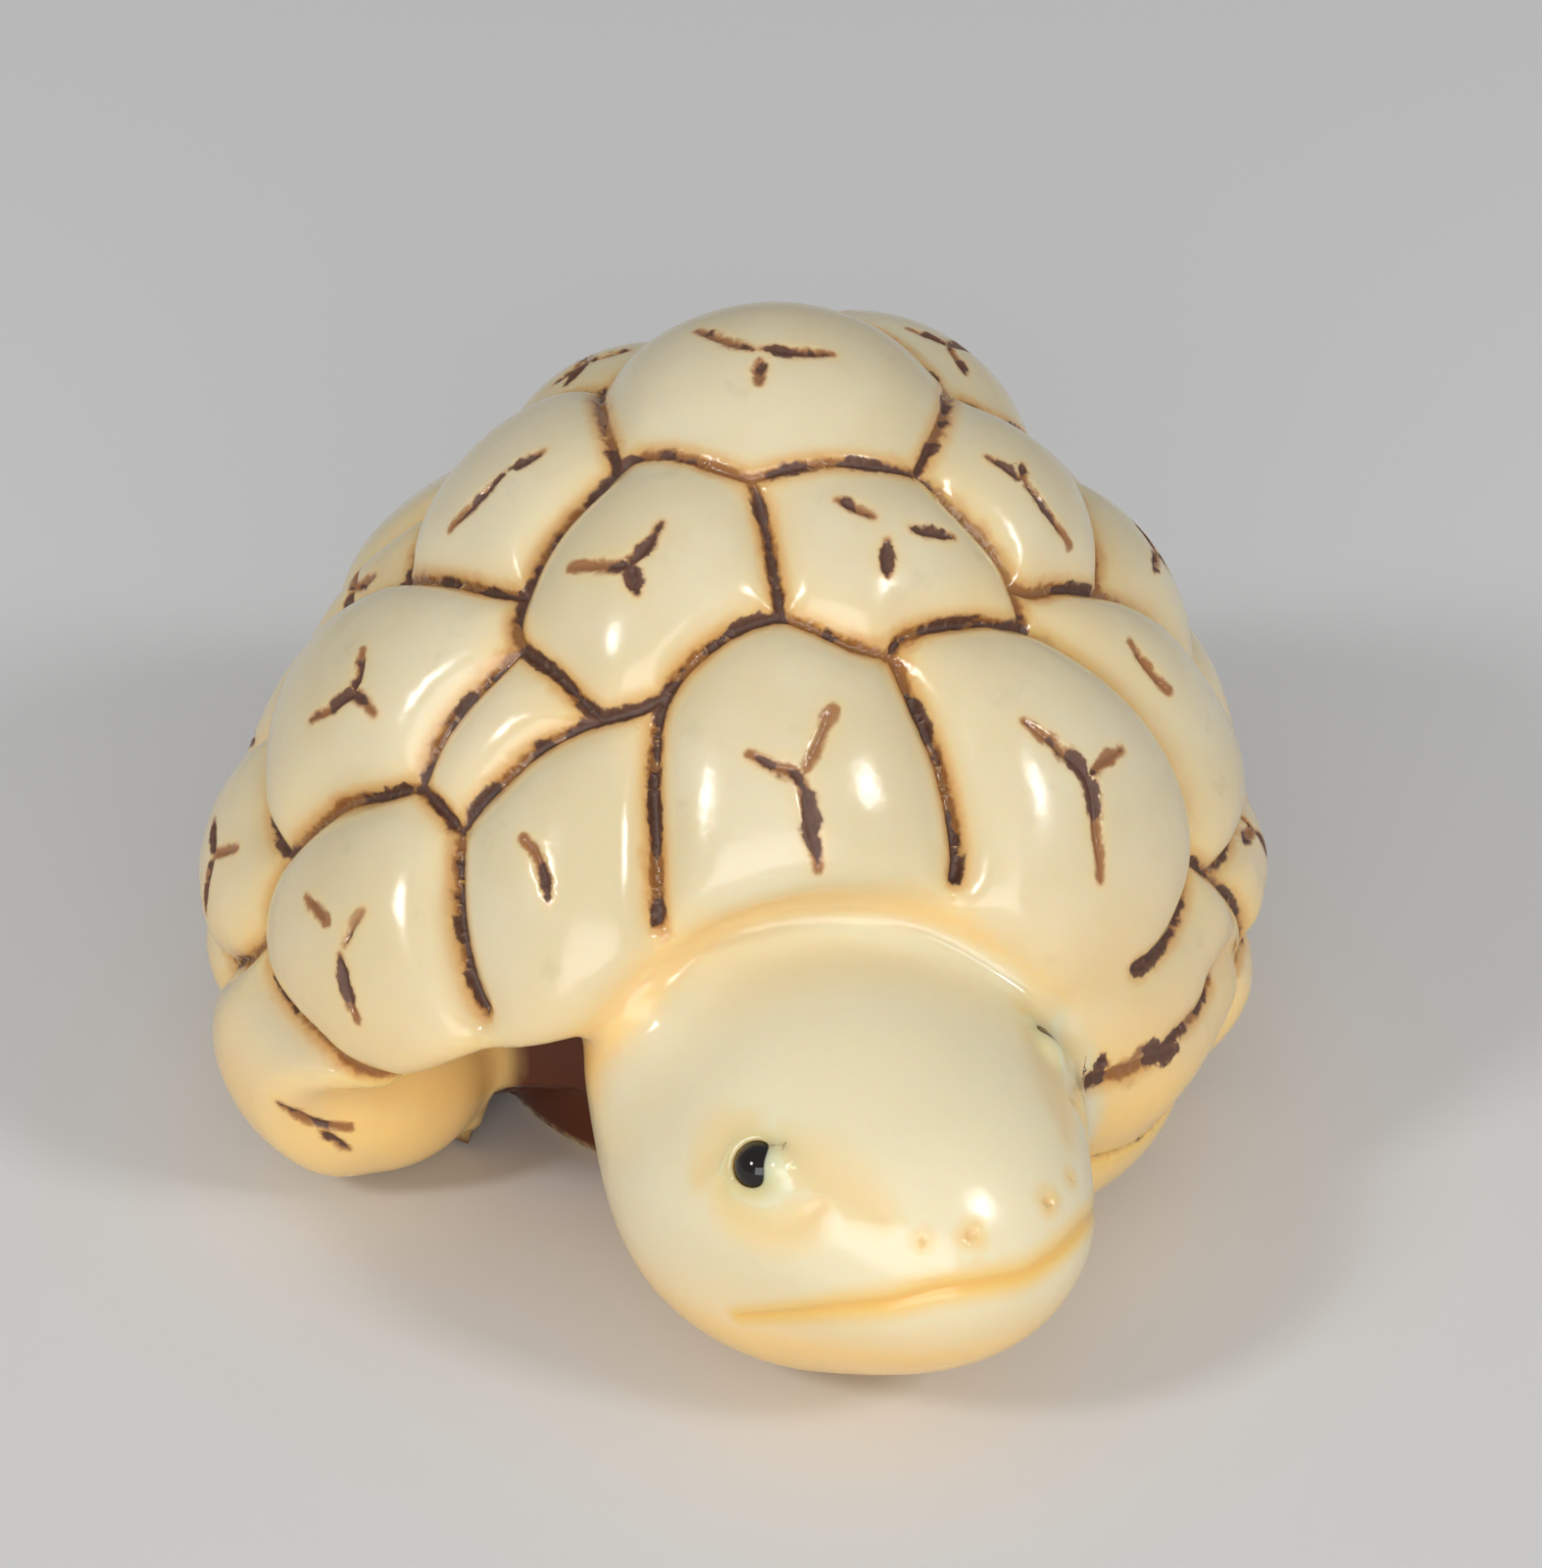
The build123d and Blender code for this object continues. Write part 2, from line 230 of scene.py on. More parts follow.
# Age marks out of the photograph's sight: bearing, climb and turn of each three-armed cut
OTHER_MARKS = (
    (136, 60, 20), (-128, 58, -35), (180, 60, 5), (-91, 36, 30), (-124, 37, 10), (-157, 37, -20),
    (167, 37, 25), (137, 37, -15), (108, 36, 15), (-74, 12, 12), (-98, 13, -10), (-120, 12, 15),
    (-143, 12, -12), (-168, 13, 8), (167, 12, -14), (144, 12, 10), (119, 12, -8), (92, 11, 14),
)
MARK_ARM = 2.1
MARK_ARM_SHARES = (1.0, 0.7, 0.8)

# Spacing of the points along seams and along other cuts
SEAM_STEP = 0.5
CUT_STEP = 0.25
# Each kind of groove: width and what a full stain adds to it, depth, and strength of the painted warm glow
# beside it, which also widens the stain's halo
SEAM_WIDTH = (0.12, 0.06)
SEAM_DEPTH = 0.22
SEAM_WARMTH = 0.75
MARK_WIDTH = (0.13, 0.07)
MARK_DEPTH = 0.18
MARK_WARMTH = 0.35
MARK_TAPER = 0.7
OTHER_MARK_WIDTH = 0.2
OTHER_MARK_STAIN = 0.9
# The ring of painted warm glow round each bead, which is no groove
RING_WIDTH = 0.1
RING_WARMTH = 0.75

# Unstained cuts on the head: width, depth and strength of the painted warm glow in them, then photo pixels.
# The other side mirrors them.
HEAD_CUT_TAPER = 0.6
HEAD_CUTS = {
    "mouth": (0.26, 0.13, 1.25, 754, 1343, 804, 1339, 858, 1334, 908, 1328, 954, 1316, 1003, 1309,
        1040, 1301),
    "brow_fold": (0.6, 0.05, 0.55, 716, 1200, 728, 1180, 741, 1160, 762, 1150),
    "snout_fold": (0.7, 0.07, 0.5, 800, 1166, 822, 1186, 845, 1204, 872, 1222, 900, 1241),
    "lid_fold": (0.5, 0.06, 0.6, 736, 1208, 746, 1232, 770, 1250, 797, 1256, 820, 1246, 838, 1230),
    "nostril": (0.24, 0.15, 0.8, 985, 1262, 992, 1260, 996, 1264),
    "cheek_pit": (0.2, 0.1, 0.7, 939, 1267, 943, 1268),
}

# Head: a frame turned to the turtle's left, with its nose a little up, and the lumps carved round it
HEAD_PLACE = np.array((5.7, -19.2, 7.25))
HEAD_TURN = 42.0
HEAD_PITCH = 4.0
HEAD_LUMPS = {
    "cheeks": ((-1.0, 0.0, -0.28), (8.6, 8.16, 6.86)),
    "snout": ((3.6, 0.0, -0.14), (6.2, 6.32, 5.25)),
    "brow": ((0.6, 0.0, 1.68), (7.4, 8.0, 4.97)),
    "poll": ((-0.8, 0.0, 2.5), (6.4, 6.8, 5.4)),
}
HEAD_BLEND = 1.2
# Lid beside each bead: a ball by its place towards the nose, down and out from the bead's middle
LID_PLACE = (0.78, -0.36, 0.36)
LID_RADIUS = 0.6
LID_BLEND = 0.6
SOCKET_BLEND = 0.2
NECK_PLACE = np.array((1.8, -14.5, 7.5))
NECK_TURN = 16.0
NECK_HALF_SIZES = (6.0, 8.5, 6.9)
NECK_BLEND = 2.6
HEAD_JOIN = 1.5

# Arches cut into the front: place across and up, half sizes, how far back they run, and blend
FRONT_OPENING = ((-1.0, 0.0), (13.5, 12.6), -8.5, 1.4)
NECK_RECESS = ((4.4, 8.2), (8.5, 8.8), -15.5, 2.2)
# Lumps at the left front corner: bearing, climb, radius, and how far they stand out of the skin
CORNER_LUMPS = {
    "corner_left": (52, -4, 7.5, 0.0),
    "corner_left_low": (56, -35, 7.0, 0.2),
}
LUMP_BLEND = 1.4
# The right corner's own lump, and the cut that clears the shell's wall away before it
CORNER_FOOT = ((-13.5, -9.0, 4.5), (4.7, 4.8, 4.1))
CORNER_CUT = ((-13.5, -18.8, 2.3), (4.6, 5.6, 6.0))
CORNER_BLEND = 1.6
# Skin that fills the corner between the neck and the front scutes
NECK_SIDE = ((-0.8, -16.5, 10.3), 3.0)
# Scutes that swell higher than the rest, told as the corner's lumps are
HUMPS = {
    "crown": (-100, 82, 8.0, 0.6),
    "back_left_crown": (150, 57, 7.0, 1.2),
    "back_crown": (-174, 57, 6.0, 0.6),
    "back_right_crown": (-134, 54, 6.0, 0.5),
}
HUMP_JOIN = 0.1
HUMP_BLEND = 0.8
# Where the skin stands out of the even dome or falls short of it: bearing, climb, spread in degrees, height
SWELLS = {
    "right": (-121, 43, 13, -0.9),
    "rim_right_front": (-101, 13, 13, -0.6),
    "rim_right": (-84, 2, 14, 0.4),
    "corner_foot": (-68, -22, 14, 0.6),
    "left_front": (92, 28, 14, -0.3),
    "rim_left": (90, 2, 16, 0.3),
}
# Underside: the hollow round the belly plate, the plate, the tucked feet and the tail
HOLLOW_HALF_SIZES = (13.2, 13.6)
HOLLOW_TOP = 3.0
BELLY_HALF_SIZES = (10.2, 11.0)
BELLY_TOP = 4.5
BELLY_SETBACK = 1.4
FOOT_HALF_SIZES = (2.3, 4.3, 2.5)
# Place of each foot in shares of the belly's half sizes, and its turn
FOOT_SHARES = ((-1.02, -0.36, 32), (1.02, -0.36, -32), (-0.86, 0.86, -48), (0.86, 0.86, 48))
TAIL_HALF_SIZES = (1.5, 3.5, 2.5)
TAIL_TURN = -24.0
EDGE_BLEND = 0.5

# Net of the body: the box that it is made in, the spacing of its points, and how they are evened out
CELL = 0.5
EVEN_ROUNDS = 3
EVEN_SHARE = 0.35
GRID_LOW = np.array((-21.5, -30.5, -1.2))
GRID_HIGH = np.array((22.5, 23.5, 32.4))
# Distances from a cut, and from a bead, each with the longest edge that is left within it
FINE_STEPS = ((0.5, 0.3), (0.2, 0.17))
EYE_STEPS = ((2.4, 0.25), (1.7, 0.14), (1.5, 0.08))

# Looks: colours as a screen shows them, sizes of the noises, and the lamps
COLOURS = {
    "ivory": (219, 205, 167),
    "ivory_light": (224, 213, 181),
    "smudge": (158, 150, 112),
    # Painted glow of light through the resin, in the hollows, low on the shell and under the chin
    "glow_amber": (247, 207, 134),
    "head": (237, 227, 192),
    # Painted warm glow along the cuts
    "painted_groove_glow": (236, 192, 100),
    "stain_halo": (204, 142, 80),
    "stain_rim": (140, 82, 40),
    "stain_dark": (58, 36, 29),
    "stain_light": (120, 80, 62),
    # Painted shade, partly stain, for the front opening
    "shade": (92, 44, 20),
    "bead_dark": (12, 11, 11),
    "bead_light": (30, 24, 20),
    "floor": (226, 226, 226),
}
CLOUD_SCALE = 160.0
SMUDGE_SCALE = 420.0
RUN_SCALE = 450.0
PATCH_SCALE = 1400.0
FLECK_SCALE = 3400.0
RIPPLE_SCALES = (700.0, 2400.0)
BEAD_CLOUD_SCALE = 1500.0
FLOOR_SIDE = 900
WORLD_LIGHT = 0.345
# Azimuth, elevation, distance, side and power
LAMPS = {
    "left_softbox": (-46, 36, 700, 120, 1.2),
    "right_softbox": (60, 36, 700, 120, 1.1),
    "front_fill": (5, 5, 800, 700, 5.0),
}


def turned(angle):
    """Rotation about the vertical."""
    turn = math.radians(angle)
    return np.array(((math.cos(turn), -math.sin(turn), 0), (math.sin(turn), math.cos(turn), 0), (0, 0, 1)))


def direction(azimuth, elevation):
    """Direction turned from the front towards +X, and up."""
    turn = math.radians(azimuth)
    rise = math.radians(elevation)
    return np.array((math.sin(turn) * math.cos(rise), -math.cos(turn) * math.cos(rise), math.sin(rise)))


def camera_axes():
    """The camera's forward, right and upward directions, and its place."""
    forward = -direction(CAMERA_AZIMUTH, CAMERA_ELEVATION)
    right = turned(CAMERA_AZIMUTH)[:, 0]
    place = np.array(CAMERA_TARGET) - forward * CAMERA_DISTANCE
    return forward, right, np.cross(right, forward), place


def seen_points(pixels, field):
    """Where the camera's rays through photo pixels first meet a surface, or pass nearest to it."""
    forward, right, upward, place = camera_axes()
    pixels = np.array(pixels, float).reshape(-1, 2)
    rays = forward * FOCAL_PIXELS + right * (pixels[:, :1] - PHOTO_WIDE / 2)
    rays = rays - upward * (pixels[:, 1:] - PHOTO_HIGH / 2)
    rays /= np.linalg.norm(rays, axis=1)[:, None]
    steps = np.arange(CAMERA_DISTANCE + RAY_SPAN[0], CAMERA_DISTANCE + RAY_SPAN[1], RAY_STEP)
    points = place + rays[:, None] * steps[None, :, None]
    depths = field(points)
    inside = depths < 0
    first = np.where(inside.any(1), inside.argmax(1), depths.argmin(1))
    return points[np.arange(len(pixels)), first]


def skin_level(points):
    """1 on the shell's smooth skin, less inside it."""
    up = points[..., 2] - WIDEST_HEIGHT
    rise = np.clip(up / (SHELL_HEIGHT - WIDEST_HEIGHT), 0, None)
    across = points[..., 0] - CROWN_LEAN * rise**2
    half_width = np.where(across > 0, LEFT_HALF_WIDTH, SHELL_HALF_WIDTH)
    out = np.hypot(across / half_width, points[..., 1] / SHELL_HALF_LENGTH)
    power = 2 / DOME_FULLNESS
    upper = (out**power + rise**power) ** (1 / power)
    return np.where(up >= 0, upper, np.hypot(out, up / TUCK_DEPTH))


def crease_field(points):
    """Roughly the distance to the level at which the seams lie."""
    away = np.linalg.norm(points - MIDDLE, axis=-1)
    return away * (1 - 1 / skin_level(points)) + SEAM_INSET


def skin_point(bearing, climb):
    """Point of the smooth skin at a bearing and a climb."""
    turn = math.radians(bearing)
    rise = math.radians(climb)
    out = math.cos(rise) ** (DOME_FULLNESS if climb >= 0 else 1)
    up = math.sin(max(rise, 0)) ** DOME_FULLNESS
    height = WIDEST_HEIGHT + (SHELL_HEIGHT - WIDEST_HEIGHT) * up + TUCK_DEPTH * math.sin(min(rise, 0))
    half_width = LEFT_HALF_WIDTH if math.sin(turn) > 0 else SHELL_HALF_WIDTH
    across = half_width * out * math.sin(turn) + CROWN_LEAN * up**2
    return np.array((across, -SHELL_HALF_LENGTH * out * math.cos(turn), height))


def chart_places(points):
    """Row and column of points on the chart, by their direction from the middle."""
    away = points - MIDDLE
    flat = np.hypot(away[..., 0], away[..., 1])
    polar = np.arctan2(flat, away[..., 2]) / CHART_REACH
    share = np.minimum(polar, 0.998) / np.maximum(flat, 1e-9)
    half = (CHART_SIZE - 1) / 2
    return (1 + away[..., 1] * share) * half, (1 + away[..., 0] * share) * half


def chart_value(sheet, points):
    """A chart's value at points, smoothed between its cells."""
    row, column = chart_places(points)
    low_row = np.clip(row.astype(int), 0, CHART_SIZE - 2)
    low_column = np.clip(column.astype(int), 0, CHART_SIZE - 2)
    down = row - low_row
    along = column - low_column
    near = sheet[low_row, low_column] * (1 - along) + sheet[low_row, low_column + 1] * along
    far = sheet[low_row + 1, low_column] * (1 - along) + sheet[low_row + 1, low_column + 1] * along
    return near * (1 - down) + far * down


def chart_directions():
    """Direction from the middle at each cell, and whether the cell is in use."""
    places = np.linspace(-1, 1, CHART_SIZE)
    across, along = np.meshgrid(places, places)
    share = np.hypot(across, along)
    polar = share * CHART_REACH
    flat = np.sin(polar) / np.maximum(share, 1e-9)
    return np.stack((across * flat, along * flat, np.cos(polar)), -1), share < 0.995


def crease_reach(directions):
    """Distance from the middle to the seams' level, in each direction."""
    reach = np.full(directions.shape[:-1], SHELL_HALF_LENGTH)
    for _ in range(6):
        points = MIDDLE + directions * reach[..., None]
        reach = reach - crease_field(points)
    return reach


def smooth_path(points, spacing):
    """Points close together on a curve through the given ones."""
    points = np.array(points, float)
    if len(points) == 2:
        points = np.array((points[0], points.mean(0), points[1]))
    ends = np.vstack((2 * points[0] - points[1], points, 2 * points[-1] - points[-2]))
    path = []
    for before, start, end, after in zip(ends, ends[1:], ends[2:], ends[3:]):
        count = max(1, math.ceil(np.linalg.norm(end - start) / spacing))
        for share in np.arange(count) / count:
            bend = 2 * start + (end - before) * share
            bend = bend + (2 * before - 5 * start + 4 * end - after) * share**2
            path.append((bend + (3 * start - before - 3 * end + after) * share**3) / 2)
    path.append(points[-1])
    return np.array(path)


def seam_paths():
    """Every seam as its stain and its path along the crease level."""
    paths = []
    for stain, *pixels in SEEN_SEAMS:
        paths.append((stain, seen_points(pixels, crease_field)))
    places = [(stain, np.reshape(angles, (-1, 2))) for stain, *angles in OTHER_SEAMS]
    places += [(HEM_STAIN, [(split, climb) for climb in HEM_CLIMBS]) for split in HEM_SPLITS]
    for stain, angles in places:
        paths.append((stain, [skin_point(*angle) for angle in angles]))
    return [(stain, on_crease(smooth_path(points, SEAM_STEP))) for stain, points in paths]


def on_crease(points):
    """Points moved along their directions to the seams' level."""
    away = points - MIDDLE
    directions = away / np.linalg.norm(away, axis=-1)[..., None]
    return MIDDLE + directions * crease_reach(directions)[..., None]


def seam_distances(surface, paths):
    """Distance from each cell of the chart to the nearest seam, up to a few millimetres."""
    distances = np.full(surface.shape[:2], FAR)
    for _, path in paths:
        rows, columns = chart_places(path)
        for k in range(len(path) - 1):
            window = []
            for cells in (rows[k : k + 2], columns[k : k + 2]):
                window.append(slice(max(int(cells.min()) - SEAM_MARGIN, 0), int(cells.max()) + SEAM_MARGIN))
            window = tuple(window)
            run = path[k + 1] - path[k]
            from_start = surface[window] - path[k]
            share = np.clip(from_start @ run / (run @ run), 0, 1)
            gap = np.linalg.norm(from_start - share[..., None] * run, axis=-1)
            distances[window] = np.minimum(distances[window], gap)
    return distances


def membrane(hold, in_use):
    """Height of a sheet pinned where hold is strong and blown up between, by conjugate gradients."""

    def pull(height):
        spread = (4 + hold) * height
        spread[1:] -= height[:-1]
        spread[:-1] -= height[1:]
        spread[:, 1:] -= height[:, :-1]
        spread[:, :-1] -= height[:, 1:]
        return spread * in_use

    height = np.zeros_like(hold)
    rest = in_use.astype(float)
    way = rest.copy()
    power = (rest * rest).sum()
    for _ in range(RELAX_STEPS):
        pulled = pull(way)
        step = power / (way * pulled).sum()
        height += step * way
        rest -= step * pulled
        new_power = (rest * rest).sum()
        way = rest + new_power / power * way
        power = new_power
    return np.clip(height, 0, None)


def shell_reach(paths):
    """Chart of the distance from the middle to the carved shell."""
    directions, in_use = chart_directions()
    crease = crease_reach(directions)
    surface = MIDDLE + directions * crease[..., None]
    across = np.gradient(surface, axis=1)
    along = np.gradient(surface, axis=0)
    normals = np.cross(across, along)
    normals /= np.maximum(np.linalg.norm(normals, axis=-1), 1e-9)[..., None]
    slant = np.clip(np.abs((normals * directions).sum(-1)), 0.5, 1)
    distances = seam_distances(surface, paths)
    hold = HOLD_STRENGTH * np.exp(-((distances / SEAM_HOLD) ** 2))
    cell = SHELL_HALF_LENGTH * 2 * CHART_REACH / CHART_SIZE
    full = (DOME_RADIUS / cell) ** 2 / 4
    swell = (membrane(hold, in_use) / full) ** DOME_POWER
    dome = DOME_RISE * swell / np.sqrt(1 + (swell / DOME_LIMIT) ** 2)
    reach = crease + dome / slant
    for bearing, climb, spread, height in SWELLS.values():
        out = skin_point(bearing, climb) - MIDDLE
        nearness = directions @ (out / np.linalg.norm(out))
        reach += height * np.exp((nearness - 1) * 2 / math.radians(spread) ** 2)
    return reach


def ball_field(points, place, half_sizes, axes=None):
    """Roughly the distance to an ellipsoid."""
    local = points - place
    if axes is not None:
        local = local @ axes
    shares = local / half_sizes
    size = np.linalg.norm(shares, axis=-1)
    slope = np.linalg.norm(shares / half_sizes, axis=-1)
    return size * (size - 1) / np.maximum(slope, 1e-9)


def round_field(points, place, radius):
    """Distance to a ball."""
    return np.linalg.norm(points - place, axis=-1) - radius


def joined(one, other, blend):
    """Union of two fields, filled at the join."""
    share = np.clip(0.5 + 0.5 * (other - one) / blend, 0, 1)
    return other + (one - other) * share - blend * share * (1 - share)


def cut(one, other, blend):
    """The first field without the second, rounded at the edge."""
    return -joined(-one, other, blend)


def all_joined(fields, blend):
    whole = fields[0]
    for field in fields[1:]:
        whole = joined(whole, field, blend)
    return whole


def head_axes():
    """Columns are the directions to the nose, to the left cheek and up the head."""
    nose = direction(HEAD_TURN, HEAD_PITCH)
    left = turned(HEAD_TURN)[:, 0]
    return np.stack((nose, left, np.cross(nose, left)), 1)


def head_field(points):
    axes = head_axes()
    lumps = []
    for place, half_sizes in HEAD_LUMPS.values():
        lumps.append(ball_field(points, HEAD_PLACE + axes @ np.array(place), half_sizes, axes))
    return all_joined(lumps, HEAD_BLEND)


def plug_field(points, half_sizes, top):
    """An upright oval plug in the middle of the underside."""
    along = (points[..., 1] - BELLY_SETBACK) / half_sizes[1]
    oval = np.hypot(points[..., 0] / half_sizes[0], along)
    return cut((oval - 1) * half_sizes[0], -(points[..., 2] - top), EDGE_BLEND)


def underside_field(points):
    """The belly plate, feet and tail."""
    field = plug_field(points, BELLY_HALF_SIZES, BELLY_TOP)
    for across_share, along_share, turn in FOOT_SHARES:
        across = BELLY_HALF_SIZES[0] * across_share
        along = BELLY_SETBACK + BELLY_HALF_SIZES[1] * along_share
        place = np.array((across, along, FOOT_HALF_SIZES[2]))
        field = joined(field, ball_field(points, place, FOOT_HALF_SIZES, turned(turn)), EDGE_BLEND)
    place = np.array((0.0, BELLY_SETBACK + BELLY_HALF_SIZES[1], TAIL_HALF_SIZES[2]))
    return joined(field, ball_field(points, place, TAIL_HALF_SIZES, turned(TAIL_TURN)), EDGE_BLEND)


def arch_oval(points, middle, half_sizes):
    """1 on an arch's side, less inside it."""
    across = (points[..., 0] - middle[0]) / half_sizes[0]
    up = (points[..., 2] - middle[1]) / half_sizes[1]
    return np.hypot(across, up)


def arch_field(points, middle, half_sizes, back, blend):
    """An arch that runs in from the front."""
    side = (arch_oval(points, middle, half_sizes) - 1) * half_sizes[1]
    return cut(side, -(points[..., 1] - back), blend)


def corner_field(points):
    """The shell's rounded corners beside the front opening."""
    foot = ball_field(points, *np.array(CORNER_FOOT))
    return joined(ball_union(points, CORNER_LUMPS, LUMP_BLEND), foot, LUMP_BLEND)


def neck_field(points):
    neck = ball_field(points, NECK_PLACE, NECK_HALF_SIZES, turned(NECK_TURN))
    return joined(neck, round_field(points, *NECK_SIDE), NECK_BLEND)


def ball_union(points, table, blend):
    """Balls that stand out of the smooth skin, each by its bearing, climb, radius and lift."""
    lumps = []
    for bearing, climb, radius, lift in table.values():
        place = skin_point(bearing, climb)
        out = np.cross(skin_point(bearing + 1, climb) - place, skin_point(bearing, climb + 1) - place)
        centre = place - out / np.linalg.norm(out) * (radius - lift)
        lumps.append(round_field(points, centre, radius))
    return all_joined(lumps, blend)


def bead_places():
    """Middle, outward direction and radius of each eye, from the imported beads."""
    places = []
    for node in ("eye_right", "eye_left"):
        low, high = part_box(node)
        place = np.array((low + high) / 2) / MM
        skin = settled(place[None], head_field, 4)[0]
        out = (skin - place) / np.linalg.norm(skin - place)
        places.append((place, out, (high - low).length / 2 / math.sqrt(3) / MM))
    return places


def eye_axes(out):
    """Columns are the directions to the nose and down along the skin, and out of it."""
    nose = head_axes()[:, 0]
    nose = nose - out * (nose @ out)
    nose /= np.linalg.norm(nose)
    down = np.cross(nose, out)
    return np.stack((nose, down if down[2] < 0 else -down, out), 1)


class Body:
    """The carved body as a field that is negative inside."""

    def __init__(self, reach):
        self.reach = reach
        self.beads = bead_places()

    def shell(self, points):
        away = np.linalg.norm(points - MIDDLE, axis=-1)
        shell = FIELD_SHARE * (away - chart_value(self.reach, points))
        return joined(shell, ball_union(points, HUMPS, HUMP_JOIN), HUMP_BLEND)

    def whole(self, points):
        field = self.shell(points)
        for arch in (FRONT_OPENING, NECK_RECESS):
            field = cut(field, arch_field(points, *arch), arch[-1])
        field = cut(field, ball_field(points, *np.array(CORNER_CUT)), CORNER_BLEND)
        field = joined(field, corner_field(points), CORNER_BLEND)
        field = cut(field, plug_field(points, HOLLOW_HALF_SIZES, HOLLOW_TOP), EDGE_BLEND)
        field = joined(field, underside_field(points), EDGE_BLEND)
        field = joined(field, neck_field(points), NECK_BLEND)
        field = joined(field, head_field(points), HEAD_JOIN)
        field = cut(field, points[..., 2], EDGE_BLEND)
        for place, out, radius in self.beads:
            lid = round_field(points - place, eye_axes(out) @ np.array(LID_PLACE), LID_RADIUS)
            socket = round_field(points, place, radius)
            field = cut(joined(field, lid, LID_BLEND), socket, SOCKET_BLEND)
        return field


def settled(points, field, rounds):
    """Points moved on to the surface of a field."""
    small = 0.02
    least_slope = 0.15
    for _ in range(rounds):
        value = field(points)
        slopes = [(field(points + step) - value) / small for step in np.eye(3) * small]
        slope = np.stack(slopes, -1)
        size = np.maximum((slope**2).sum(-1), least_slope)
        move = slope * (value / size)[:, None]
        length = np.maximum(np.linalg.norm(move, axis=-1), 1e-9)
        points = points - move * np.minimum(1, CELL / length)[:, None]
    return points


def bridged(inside):
    """The grid's inside, filled where parts of it would touch along an edge only, and without lone points."""
    for _ in range(4):
        for one, other in ((0, 1), (0, 2), (1, 2)):
            corners = []
            for up_one, up_other in np.ndindex(2, 2):
                window = [slice(None)] * 3
                window[one] = slice(up_one, inside.shape[one] - 1 + up_one)
                window[other] = slice(up_other, inside.shape[other] - 1 + up_other)
                corners.append(inside[tuple(window)])
            a, b, c, d = corners
            crossed = (a == d) & (b == c) & (a != b)
            a |= crossed
            b |= crossed
    core = inside[1:-1, 1:-1, 1:-1]
    count = np.zeros(core.shape, int)
    for axis in range(3):
        for step in (-1, 1):
            count += np.roll(inside, step, axis)[1:-1, 1:-1, 1:-1]
    core &= count > 0
    core |= count == 6
    return inside


def netted(field):
    """Points and four-sided faces of a net round the body, one point in each cell that it passes through."""
    counts = np.ceil((GRID_HIGH - GRID_LOW) / CELL).astype(int)
    axes = [GRID_LOW[k] + CELL * np.arange(counts[k]) for k in range(3)]
    grid = np.stack(np.meshgrid(*axes, indexing="ij"), -1)
    values = np.concatenate([field(slab) for slab in np.array_split(grid, 12)])
    inside = bridged(values < 0)
    cells = tuple(n - 1 for n in inside.shape)
    corner = np.zeros(cells, int)
    for shift in np.ndindex(2, 2, 2):
        window = tuple(slice(shift[k], cells[k] + shift[k]) for k in range(3))
        corner += inside[window]
    crossed = (corner > 0) & (corner < 8)
    number = np.full(cells, -1)
    number[crossed] = np.arange(crossed.sum())
    points = GRID_LOW + CELL * (np.argwhere(crossed) + 0.5)
    faces = []
    for axis in range(3):
        first, second = [k for k in range(3) if k != axis]
        if axis == 1:
            first, second = second, first
        low = [slice(1, n - 1) for n in inside.shape]
        low[axis] = slice(0, inside.shape[axis] - 1)
        high = list(low)
        high[axis] = slice(1, inside.shape[axis])
        here = inside[tuple(low)]
        there = inside[tuple(high)]
        for flip, edges in ((False, here & ~there), (True, ~here & there)):
            places = np.argwhere(edges)
            places[:, first] += 1
            places[:, second] += 1
            ring = []
            for back_first, back_second in ((0, 0), (1, 0), (1, 1), (0, 1)):
                around = places.copy()
                around[:, first] -= back_first
                around[:, second] -= back_second
                ring.append(number[tuple(around.T)])
            quads = np.stack(ring, 1)
            faces.append(quads[:, ::-1] if flip else quads)
    return points, np.concatenate(faces)


def evened(points, quads):
    """Points moved part of the way to the middle of their neighbours."""
    total = np.zeros_like(points)
    count = np.zeros(len(points))
    for k in range(4):
        here = quads[:, k]
        for neighbour in (quads[:, (k + 1) % 4], quads[:, (k + 3) % 4]):
            np.add.at(total, here, points[neighbour])
            np.add.at(count, here, 1)
    return points + (total / count[:, None] - points) * EVEN_SHARE


def divided(points, faces, is_near, longest, field):
    """Triangles with their long edges halved where they are near a cut."""
    edges = np.sort(np.concatenate((faces[:, (0, 1)], faces[:, (1, 2)], faces[:, (2, 0)])), 1)
    edges, where = np.unique(edges, axis=0, return_inverse=True)
    where = where.reshape(3, -1).T
    ends = points[edges]
    long = np.linalg.norm(ends[:, 0] - ends[:, 1], axis=1) > longest
    halves = long & (is_near[edges[:, 0]] | is_near[edges[:, 1]])
    middle = np.full(len(edges), -1)
    middle[halves] = len(points) + np.arange(halves.sum())
    points = np.concatenate((points, settled(ends[halves].mean(1), field, 2)))
    mids = middle[where]
    made = []
    for pattern in np.ndindex(2, 2, 2):
        rows = ((mids >= 0) == np.array(pattern, bool)).all(1)
        if not rows.any():
            continue
        split = sum(pattern)
        start = pattern.index(1) if split == 1 else (pattern.index(0) + 1) % 3 if split == 2 else 0
        order = [(start + k) % 3 for k in range(3)]
        a, b, c = faces[rows][:, order].T
        ab, bc, ca = mids[rows][:, order].T
        pieces = {
            0: ((a, b, c),),
            1: ((a, ab, c), (ab, b, c)),
            2: ((ab, b, bc), (a, ab, bc), (a, bc, c)),
            3: ((a, ab, ca), (ab, b, bc), (ca, bc, c), (ab, bc, ca)),
        }[split]
        made += [np.stack(piece, 1) for piece in pieces]
    return points, np.concatenate(made)


